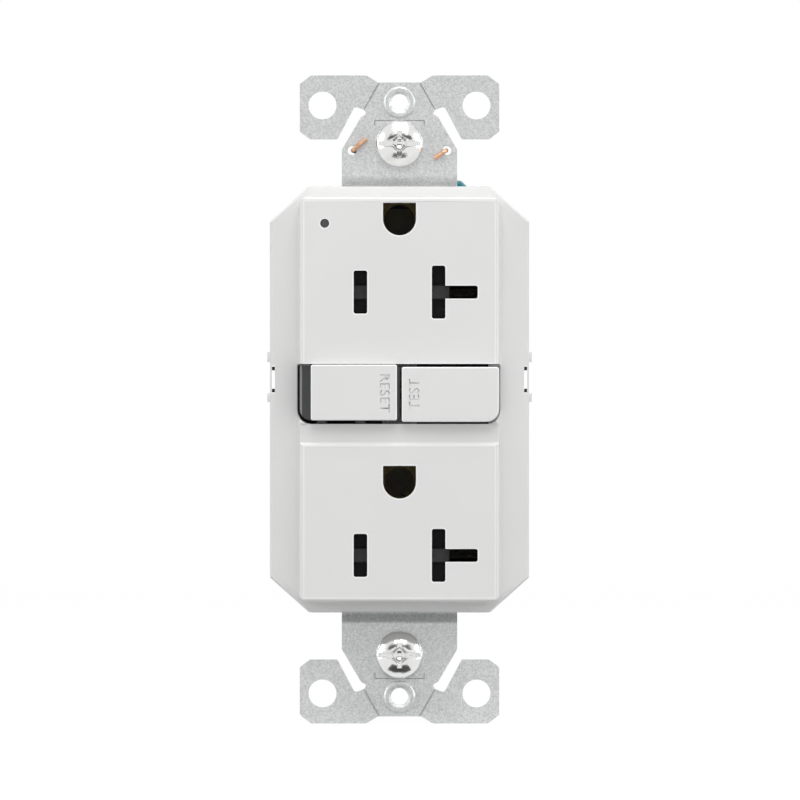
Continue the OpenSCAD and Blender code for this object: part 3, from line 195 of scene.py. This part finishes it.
nodeFinish = {
    "mouldedWhite": ["front_cover", "reset_button", "test_button"],
    "mouldedCharcoal": ["rear_housing"],
    "satinCharcoal": ["reset_carrier", "test_stem"],
    "galvanised": ["mounting_strap"],
    "zincPlate": ["box_screw_top", "box_screw_bottom", "neutral_load_screw", "neutral_line_screw"],
    "blackOxide": ["assembly_screws"],
    "stampedBrass": ["hot_load_screw", "hot_line_screw", "hot_load_clamp", "hot_line_clamp", "hot_load_bus",
                     "hot_line_bar", "test_contact"],
    "agedBrass": ["upper_ground_contact", "lower_ground_contact"],
    "nickelBrass": ["neutral_load_bus", "neutral_line_bar", "neutral_load_clamp", "neutral_line_clamp"],
    "tealScrew": ["ground_screw"],
    "drawnCopper": ["self_ground_wire", "hot_contact_arm", "neutral_contact_arm"],
    "enamelWire": ["solenoid_winding"],
    "springSteel": ["reset_spring", "upper_shutter_spring", "lower_shutter_spring", "plunger_spring"],
    "zincSteel": ["latch_plate", "solenoid_frame", "plunger"],
    "glassFilledDark": ["insulating_deck"],
    "glassFilledBuff": ["contact_tray"],
    "shutterGrey": ["upper_left_shutter", "upper_right_shutter", "lower_left_shutter",
                    "lower_right_shutter", "upper_shutter_retainer", "lower_shutter_retainer"],
    "naturalNylon": ["contact_lifter", "solenoid_bobbin"],
    "fibreBoard": ["screw_retainers"],
    "solderMask": ["circuit_board"],
    "tapedCoil": ["ground_fault_coil"],
    "varnishedCoil": ["arc_fault_coil"],
    "sleeve": ["capacitors"],
    "dippedCoat": ["varistor"],
    "chipBlack": ["board_chips", "coil_spool"],
    "redLens": ["indicator_led"],
    "clearAcrylic": ["light_pipe"],
}

# what all finishes share
surface = {
    "coatRough": 0.12, "patches": (0.3, 0.7), "paler": 0.5, "glossScale": 2.3, "crystalShare": 0.45,
    "cloudDetail": 4, "glossDetail": 3, "grainDetail": 2, "landHalf": 1.05,
}


def noise(tree, place, scale, detail):
    return addNode(tree, "TexNoise", {"Scale": scale, "Detail": detail}, {"Vector": place}).outputs["Fac"]


def addCrystals(tree, place, cloud, scale):
    # crystals of zinc, each with its own tone
    crystal = addNode(tree, "TexVoronoi", {"Scale": scale}, {"Vector": place})
    ends = {"A": cloud, "B": crystal.outputs["Color"]}
    return addNode(tree, "Mix", {"Factor": surface["crystalShare"]}, ends).outputs["Result"]


def addTone(tree, cloud, color, vary):
    # the finish's colour in darker and paler patches
    tone = addNode(tree, "ValToRGB", links={"Fac": cloud})
    shares = (1 - vary, 1 + vary * surface["paler"])
    for stop, at, share in zip(tone.color_ramp.elements, surface["patches"], shares):
        stop.position = at
        stop.color = [min(c * share, 1) for c in color] + [1]
    return tone.outputs["Color"]


# a lighter band painted across the middle of the shutters' lands as a highlight on their ramps
def addPaintedHighlightBand(tree, place, color, facts):
    # the shutters' lands, worn lighter where the blades rub them
    height = addNode(tree, "SeparateXYZ", links={"Vector": place}).outputs["Z"]
    worn = None
    for node in facts["lands"]:
        low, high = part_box(node)
        span = {1: (low[2] + high[2]) / 2, 2: surface["landHalf"] * mm}
        near = addNode(tree, "Math", span, {0: height}, operation="COMPARE").outputs[0]
        worn = near if worn is None else larger(tree, worn, near)
    bandMix = addNode(tree, "Mix", None, {"Factor": worn, "A": color}, data_type="RGBA")
    bandMix.inputs["B"].default_value = list(facts["worn"]) + [1]
    return bandMix.outputs["Result"]


def addTracks(tree, place, tracks):
    turn = addNode(tree, "Mapping", {"Rotation": (math.pi / 2, 0, 0)}, {"Vector": place})
    return addNode(tree, "TexBrick", tracks, {"Vector": turn.outputs["Vector"]}).outputs["Color"]


def makeFinish(name):
    facts = finishes[name]
    paint = bpy.data.materials.new(name)
    paint.use_nodes = True
    tree = paint.node_tree
    shader = tree.nodes["Principled BSDF"]
    shader.inputs["Metallic"].default_value = facts.get("metal", 0.0)
    shader.inputs["Specular IOR Level"].default_value = facts.get("specular", 0.5)
    shader.inputs["Coat Weight"].default_value = facts.get("coat", 0.0)
    shader.inputs["Coat Roughness"].default_value = surface["coatRough"]
    shader.inputs["Transmission Weight"].default_value = facts.get("clear", 0.0)
    place = tree.nodes.new("ShaderNodeTexCoord").outputs["Object"]
    spread = addNode(tree, "Mapping", {"Scale": facts.get("stretch", (1, 1, 1))}, {"Vector": place})
    drawn = spread.outputs["Vector"]

    cloud = noise(tree, drawn, facts["scale"], surface["cloudDetail"])
    if "spangle" in facts:
        cloud = addCrystals(tree, drawn, cloud, facts["spangle"])
    color = addTone(tree, cloud, facts["color"], facts["vary"])
    if "lands" in facts:
        color = addPaintedHighlightBand(tree, place, color, facts)
    if "tracks" in facts:
        color = addTracks(tree, place, facts["tracks"])
    tree.links.new(color, shader.inputs["Base Color"])

    smooth, rough = facts["rough"]
    shine = noise(tree, drawn, facts["scale"] * surface["glossScale"], surface["glossDetail"])
    gloss = addNode(tree, "MapRange", {"To Min": smooth, "To Max": rough}, {"Value": shine})
    tree.links.new(gloss.outputs["Result"], shader.inputs["Roughness"])

    if "turns" in facts:  # turns of wire
        wave = addNode(tree, "TexWave", {"Scale": facts["turns"]}, {"Vector": place}, bands_direction="Z")
        height = wave.outputs["Fac"]
    else:
        height = noise(tree, drawn, facts["grain"], surface["grainDetail"])
    relief = addNode(tree, "Bump", {"Strength": 1.0, "Distance": facts["depth"] * mm}, {"Height": height})
    tree.links.new(relief.outputs["Normal"], shader.inputs["Normal"])
    return paint


paints = {name: makeFinish(name) for name in finishes}
finishOf = {node: name for name, members in nodeFinish.items() for node in members}
for node, part in nodes.items():
    part.data.materials.clear()
    part.data.materials.append(paints[finishOf[node]])
print("finishes made:", len(paints))

# angles in degrees and distances in mm
smoothing = {
    "bevelFrom": 32, "segments": 2, "smoothTo": 38, "flat": 0.6, "merge": 0.002, "seamMerge": 0.001,
}


def mergedCopy(node):
    # a copy of a solid's skin with its loose triangles joined into whole faces
    piece = bpy.data.objects.new(camelName(node), nodes[node].data.copy())
    bpy.context.scene.collection.objects.link(piece)
    only(piece)
    bpy.ops.mesh.customdata_custom_splitnormals_clear()
    editAll(piece)
    bpy.ops.mesh.remove_doubles(threshold=smoothing["merge"] * mm)
    bpy.ops.mesh.dissolve_limited(angle_limit=math.radians(smoothing["flat"]))
    editDone()
    return piece


def smoothFaces(piece):
    only(piece)
    bpy.ops.object.shade_smooth_by_angle(angle=math.radians(smoothing["smoothTo"]))
    weights = piece.modifiers.new("faceWeights", "WEIGHTED_NORMAL")
    weights.keep_sharp = True
    bpy.ops.object.modifier_apply(modifier="faceWeights")


def soften(piece, width, segments=smoothing["segments"]):
    only(piece)
    bevel = piece.modifiers.new("softEdges", "BEVEL")
    bevel.width = width * mm
    bevel.segments = segments
    bevel.limit_method = "ANGLE"
    bevel.angle_limit = math.radians(smoothing["bevelFrom"])
    bevel.miter_outer = "MITER_ARC"
    if piece.data.materials.get("mouldedWhite"):  # softened edges of white mouldings are painted paler as a highlight
        piece.data.materials.append(paints["whiteEdge"])
        bevel.material = 1
    bpy.ops.object.modifier_apply(modifier="softEdges")
    smoothFaces(piece)


def closeSeams(piece):
    editAll(piece)
    bpy.ops.mesh.remove_doubles(threshold=smoothing["seamMerge"] * mm)
    bpy.ops.mesh.select_all(action="SELECT")
    bpy.ops.mesh.fill_holes(sides=0)
    editDone()


def settle(piece, node):
    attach(piece, nodes[node]["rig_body"])
    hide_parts(node)


# pieces that keep their solid's shape and get softened edges, with the width of the softening
softened = {
    "front_cover": 0.2, "reset_carrier": 0.12, "mounting_strap": 0.09, "rear_housing": 0.2,
    "ground_screw": 0.12, "hot_load_screw": 0.12, "hot_line_screw": 0.12,
    "neutral_load_screw": 0.12, "neutral_line_screw": 0.12, "hot_load_clamp": 0.1, "hot_line_clamp": 0.1,
    "neutral_load_clamp": 0.1, "neutral_line_clamp": 0.1,
    "upper_left_shutter": 0.08, "upper_right_shutter": 0.08,
    "lower_left_shutter": 0.08, "lower_right_shutter": 0.08, "upper_ground_contact": 0.06,
    "lower_ground_contact": 0.06, "insulating_deck": 0.08, "contact_tray": 0.1, "hot_load_bus": 0.06,
    "neutral_load_bus": 0.06, "hot_line_bar": 0.06, "neutral_line_bar": 0.06, "hot_contact_arm": 0.06,
    "neutral_contact_arm": 0.06, "contact_lifter": 0.1, "latch_plate": 0.05, "solenoid_frame": 0.08,
    "solenoid_bobbin": 0.08, "circuit_board": 0.05, "board_chips": 0.08, "capacitors": 0.3, "varistor": 0.2,
    "screw_retainers": 0.05, "test_stem": 0.08,
}

# pieces that fold over if they are softened whole
splitFirst = ["upper_left_shutter", "lower_left_shutter", "rear_housing"]


def splitHollows(piece):
    editAll(piece)
    bpy.ops.mesh.vert_connect_concave()
    editDone()


# the painted highlight rims on the cover's raised face, which stands in front of the flange
highlightRims = {"width": 0.22, "infront": -5, "facing": -0.9999, "leastArea": 1.5}


def paintRimHighlights(piece):
    # a narrow rim round every opening of the raised face, painted paler as a highlight
    only(piece)
    bpy.ops.mesh.customdata_custom_splitnormals_clear()
    bpy.context.tool_settings.mesh_select_mode = (False, False, True)
    for face in piece.data.polygons:
        raised = face.center.y < highlightRims["infront"] * mm and face.area > highlightRims["leastArea"] * mm * mm
        face.select = raised and face.normal.y < highlightRims["facing"]
    bpy.ops.object.mode_set(mode="EDIT")
    bpy.ops.mesh.inset(thickness=highlightRims["width"] * mm, depth=0, use_even_offset=False, use_select_inset=True)
    editDone()
    for face in piece.data.polygons:
        if face.select:
            face.material_index = 1
    bpy.context.tool_settings.mesh_select_mode = (True, False, False)
    smoothFaces(piece)


# the reset carrier's sides in painted shade and its rim with a painted highlight
carrier = {"rimDeep": 0.3, "slack": 0.02, "flat": 0.97, "right": 0.2}


def paintGapShadeAndRimHighlight(piece):
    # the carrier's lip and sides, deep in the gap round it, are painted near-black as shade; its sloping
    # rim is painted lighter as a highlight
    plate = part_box("reset_button")[1][1]
    piece.data.materials.append(paints["gapBlack"])
    piece.data.materials.append(paints["rubbedRim"])
    for face in piece.data.polygons:
        sloping = abs(face.normal.y) < carrier["flat"] and face.normal.x < carrier["right"]
        if face.center.y > plate + carrier["rimDeep"] * mm:
            face.material_index = 1
        elif face.center.y > plate - carrier["slack"] * mm and sloping:
            face.material_index = 2


for node, width in softened.items():
    piece = mergedCopy(node)
    if node in splitFirst:
        splitHollows(piece)
    soften(piece, width)
    if node == "front_cover":
        paintRimHighlights(piece)
    if node == "reset_carrier":
        paintGapShadeAndRimHighlight(piece)
    settle(piece, node)
print("softened pieces:", len(softened))

# paddles with their engraved words, in mm and degrees
paddles = {
    "reset_button": {"word": "RESET", "height": 1.6, "at": (-2.4, 1.04), "turn": 90, "length": 6.2},
    "test_button": {"word": "TEST", "height": 1.7, "at": (2.4, 0.82), "turn": -90, "length": 5.0},
}
engraving = {"depth": 0.16, "crown": 0.35, "soft": 0.22, "segments": 3, "letters": 2}


def makeLetters(facts, surfaceY, lean):
    # solid letters that stand upright in the paddle's face
    deselect()
    bpy.ops.object.text_add(location=(0, 0, 0))
    word = bpy.context.object
    word.data.body = facts["word"]
    word.data.align_x = "CENTER"
    word.data.align_y = "CENTER"
    word.data.size = 1.0
    word.data.extrude = 0.5
    word.data.resolution_u = 4
    bpy.ops.object.convert(target="MESH")
    word = bpy.context.object
    size = word.dimensions
    thick = engraving["letters"]
    word.scale = (facts["length"] * mm / size[0], facts["height"] * mm / size[1], thick * mm)
    bpy.ops.object.transform_apply(location=False, rotation=False, scale=True)
    word.rotation_euler = (math.pi / 2, 0, 0)
    bpy.ops.object.transform_apply(location=False, rotation=True, scale=False)
    word.rotation_euler = (0, math.radians(facts["turn"]), lean)
    x, z = facts["at"]
    word.location = (x * mm, surfaceY + (engraving["depth"] - thick / 2) * mm, z * mm)
    bpy.ops.object.transform_apply(location=True, rotation=True, scale=False)
    return word


def buildPaddle(node, facts):
    piece = mergedCopy(node)
    soften(piece, engraving["soft"], engraving["segments"])
    low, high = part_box(node)
    half = (high[0] - low[0]) / 2
    crown = engraving["crown"] * mm
    curve = (half * half + crown * crown) / (2 * crown)  # radius of the crowned front
    off = facts["at"][0] * mm - (low[0] + high[0]) / 2
    word = makeLetters(facts, low[1] + curve - math.sqrt(curve * curve - off * off), off / curve)
    only(piece)
    cut = piece.modifiers.new("engrave", "BOOLEAN")
    cut.operation = "DIFFERENCE"
    cut.solver = "EXACT"
    cut.object = word
    bpy.ops.object.modifier_apply(modifier="engrave")
    bpy.data.objects.remove(word)
    closeSeams(piece)
    smoothFaces(piece)
    settle(piece, node)


for node, facts in paddles.items():
    buildPaddle(node, facts)
print("paddles engraved")

# the box screws: the head from the solid, on a shank with a rolled thread
boxScrew = {
    "pitch": 0.794, "core": 1.42, "crest": 1.75, "plain": 1.0, "headSoft": 0.08, "tipSoft": 0.3,
    "overlap": 0.3, "sunk": 0.06, "runOut": 1.2, "ribShare": 0.44, "steps": 20, "sides": 40, "smoothTo": 35,
}


def cutHead(node, start):
    # the solid as far as the start of the thread
    piece = mergedCopy(node)
    editAll(piece)
    bpy.ops.mesh.bisect(plane_co=(0, start, 0), plane_no=(0, 1, 0), use_fill=True, clear_outer=True)
    editDone()
    soften(piece, boxScrew["headSoft"])
    return piece


def turnShank(axisX, axisZ, start, tip):
    deselect()
    reach = tip - start + boxScrew["overlap"] * mm
    core = boxScrew["core"] * mm
    bpy.ops.mesh.primitive_cylinder_add(vertices=boxScrew["sides"], radius=core, depth=reach,
                                        rotation=(math.pi / 2, 0, 0),
                                        location=(axisX, tip - reach / 2, axisZ))
    bpy.ops.object.transform_apply(location=True, rotation=True, scale=True)
    shank = bpy.context.object
    soften(shank, boxScrew["tipSoft"])
    return shank


def windRib(axisX, axisZ, start, tip):
    # a three-sided rib wound along the shank, a little sunk into it
    deselect()
    pitch = boxScrew["pitch"] * mm
    root = (boxScrew["core"] - boxScrew["sunk"]) * mm
    bpy.ops.mesh.primitive_circle_add(vertices=3, radius=1, rotation=(math.pi / 2, math.pi / 2, 0))
    rib = bpy.context.object
    bpy.ops.object.transform_apply(location=False, rotation=True, scale=False)
    wide = (boxScrew["crest"] * mm - root) / 1.5  # a triangle of radius 1 is 1.5 high
    rib.scale = (wide, 1, pitch * boxScrew["ribShare"] / math.cos(math.pi / 6))
    rib.location = (root + wide / 2, 0, 0)
    bpy.ops.object.transform_apply(location=True, rotation=False, scale=True)
    wind = rib.modifiers.new("wind", "SCREW")
    wind.axis = "Z"
    wind.iterations = int((tip - start - boxScrew["runOut"] * mm) / pitch)
    wind.screw_offset = pitch
    wind.steps = wind.render_steps = boxScrew["steps"]
    only(rib)
    bpy.ops.object.modifier_apply(modifier="wind")
    editAll(rib)
    bpy.ops.mesh.fill_holes(sides=4)
    bpy.ops.mesh.select_all(action="SELECT")
    bpy.ops.mesh.normals_make_consistent(inside=False)
    editDone()
    rib.rotation_euler = (-math.pi / 2, 0, 0)
    rib.location = (axisX, start + 0.5 * pitch, axisZ)
    bpy.ops.object.transform_apply(location=True, rotation=True, scale=True)
    bpy.ops.object.shade_smooth_by_angle(angle=math.radians(boxScrew["smoothTo"]))
    return rib


def buildBoxScrew(node):
    low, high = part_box(node)
    axisX, axisZ = (low[0] + high[0]) / 2, (low[2] + high[2]) / 2
    start, tip = boxScrew["plain"] * mm, high[1]
    piece = cutHead(node, start)
    parts = [turnShank(axisX, axisZ, start, tip), windRib(axisX, axisZ, start, tip)]
    only(piece)
    for part in parts:
        part.data.materials.clear()
        part.data.materials.append(paints["zincPlate"])
        part.select_set(True)
    bpy.ops.object.join()
    settle(piece, node)


for node in ("box_screw_top", "box_screw_bottom"):
    buildBoxScrew(node)
print("box screws threaded")

# camera, lights and the studio, in metres; floorDrop and flagLift in mm
studio = {
    "cameraAt": (0.00008, -2.0, -0.00009), "lens": 552, "sensor": 36,
    "keyAt": (0.04, -0.45, 0.8), "keySize": (0.6, 0.6), "keyPower": 5.2,
    "stripAt": (0.75, -0.3, 0.02), "stripSize": (0.16, 0.9), "stripPower": 3.4,
    "worldLight": 0.41,
    "floorSize": 3.0, "floorShade": 0.1, "floorGlow": 1.07, "floorTone": 0.45, "floorRough": 0.8,
    "floorDrop": 0.2, "flagLift": 0.3,
    "flagReach": 0.6, "flagTilt": 29, "flagSize": (0.94, 0.36),
    "floorFlags": [("farFlag", -0.11, (0.11, 0.055)), ("nearFlag", -0.012, (0.018, 0.011))],
}


def seenRays(tree):
    # 1 for camera, glossy and transmission rays, so that metal shows the same background
    path = tree.nodes.new("ShaderNodeLightPath")
    seen = path.outputs["Is Camera Ray"]
    for ray in ("Is Glossy Ray", "Is Transmission Ray"):
        seen = larger(tree, seen, path.outputs[ray])
    return seen


def addCamera():
    bpy.ops.object.camera_add(location=studio["cameraAt"], rotation=(math.pi / 2, 0, 0))
    camera = bpy.context.object
    camera.data.lens = studio["lens"]
    camera.data.sensor_width = studio["sensor"]
    bpy.context.scene.camera = camera


def addLamp(name, at, size, power):
    bpy.ops.object.light_add(type="AREA", location=at)
    lamp = bpy.context.object
    lamp.name = name
    lamp.data.shape = "RECTANGLE"
    lamp.data.size, lamp.data.size_y = size
    lamp.data.energy = power
    lamp.rotation_euler = (-lamp.location).to_track_quat("-Z", "Y").to_euler()


def addFlag(name, at, size, tilt):
    # a black card that only reflections see, so that polished heads get their dark bands
    bpy.ops.mesh.primitive_plane_add(size=1, location=at, rotation=(math.radians(tilt), 0, 0))
    flag = bpy.context.object
    flag.name = name
    flag.scale = (size[0], size[1], 1)
    for ray in ("camera", "diffuse", "transmission", "volume_scatter", "shadow"):
        setattr(flag, "visible_" + ray, False)
    flag.data.materials.append(paints["chipBlack"])


def addFlags():
    slant = math.radians(studio["flagTilt"])
    at = Vector((0, -math.cos(slant), math.sin(slant))) * studio["flagReach"]
    addFlag("upperFlag", at, studio["flagSize"], studio["flagTilt"] + 90)
    for name, at, size in studio["floorFlags"]:
        addFlag(name, (0, at, cadBox[0][2] + studio["flagLift"] * mm), size, 0)


def addWorld():
    world = bpy.data.worlds.new("studioWorld")
    bpy.context.scene.world = world
    world.use_nodes = True
    tree = world.node_tree
    back = tree.nodes["Background"]
    back.inputs["Color"].default_value = (1, 1, 1, 1)
    ends = {"To Min": studio["worldLight"], "To Max": 1.0}  # 1 where it is seen, less where it lights
    level = addNode(tree, "MapRange", ends, {"Value": seenRays(tree)})
    tree.links.new(level.outputs["Result"], back.inputs["Strength"])


def addFloor():
    under = (0, 0, cadBox[0][2] - studio["floorDrop"] * mm)
    bpy.ops.mesh.primitive_plane_add(size=studio["floorSize"], location=under)
    floor = bpy.context.object
    floor.name = "floor"
    paint = bpy.data.materials.new("floorPaint")
    paint.use_nodes = True
    tree = paint.node_tree
    shader = tree.nodes["Principled BSDF"]
    shader.inputs["Base Color"].default_value = [studio["floorTone"]] * 3 + [1]
    shader.inputs["Roughness"].default_value = studio["floorRough"]
    glow = addNode(tree, "Emission", {"Strength": studio["floorGlow"]})
    share = addNode(tree, "Math", {1: 1 - studio["floorShade"]}, {0: seenRays(tree)}, operation="MULTIPLY")
    ends = {"Fac": share.outputs[0], 1: shader.outputs[0], 2: glow.outputs[0]}
    mix = addNode(tree, "MixShader", None, ends)
    tree.links.new(mix.outputs[0], tree.nodes["Material Output"].inputs["Surface"])
    floor.data.materials.append(paint)


def buildStudio():
    addCamera()
    x, y, z = studio["stripAt"]
    addLamp("keyLamp", studio["keyAt"], studio["keySize"], studio["keyPower"])
    addLamp("leftStrip", (-x, y, z), studio["stripSize"], studio["stripPower"])
    addLamp("rightStrip", (x, y, z), studio["stripSize"], studio["stripPower"])
    addFlags()
    addWorld()
    addFloor()
    bpy.context.scene.view_settings.view_transform = "Standard"
    print("studio built")


buildStudio()
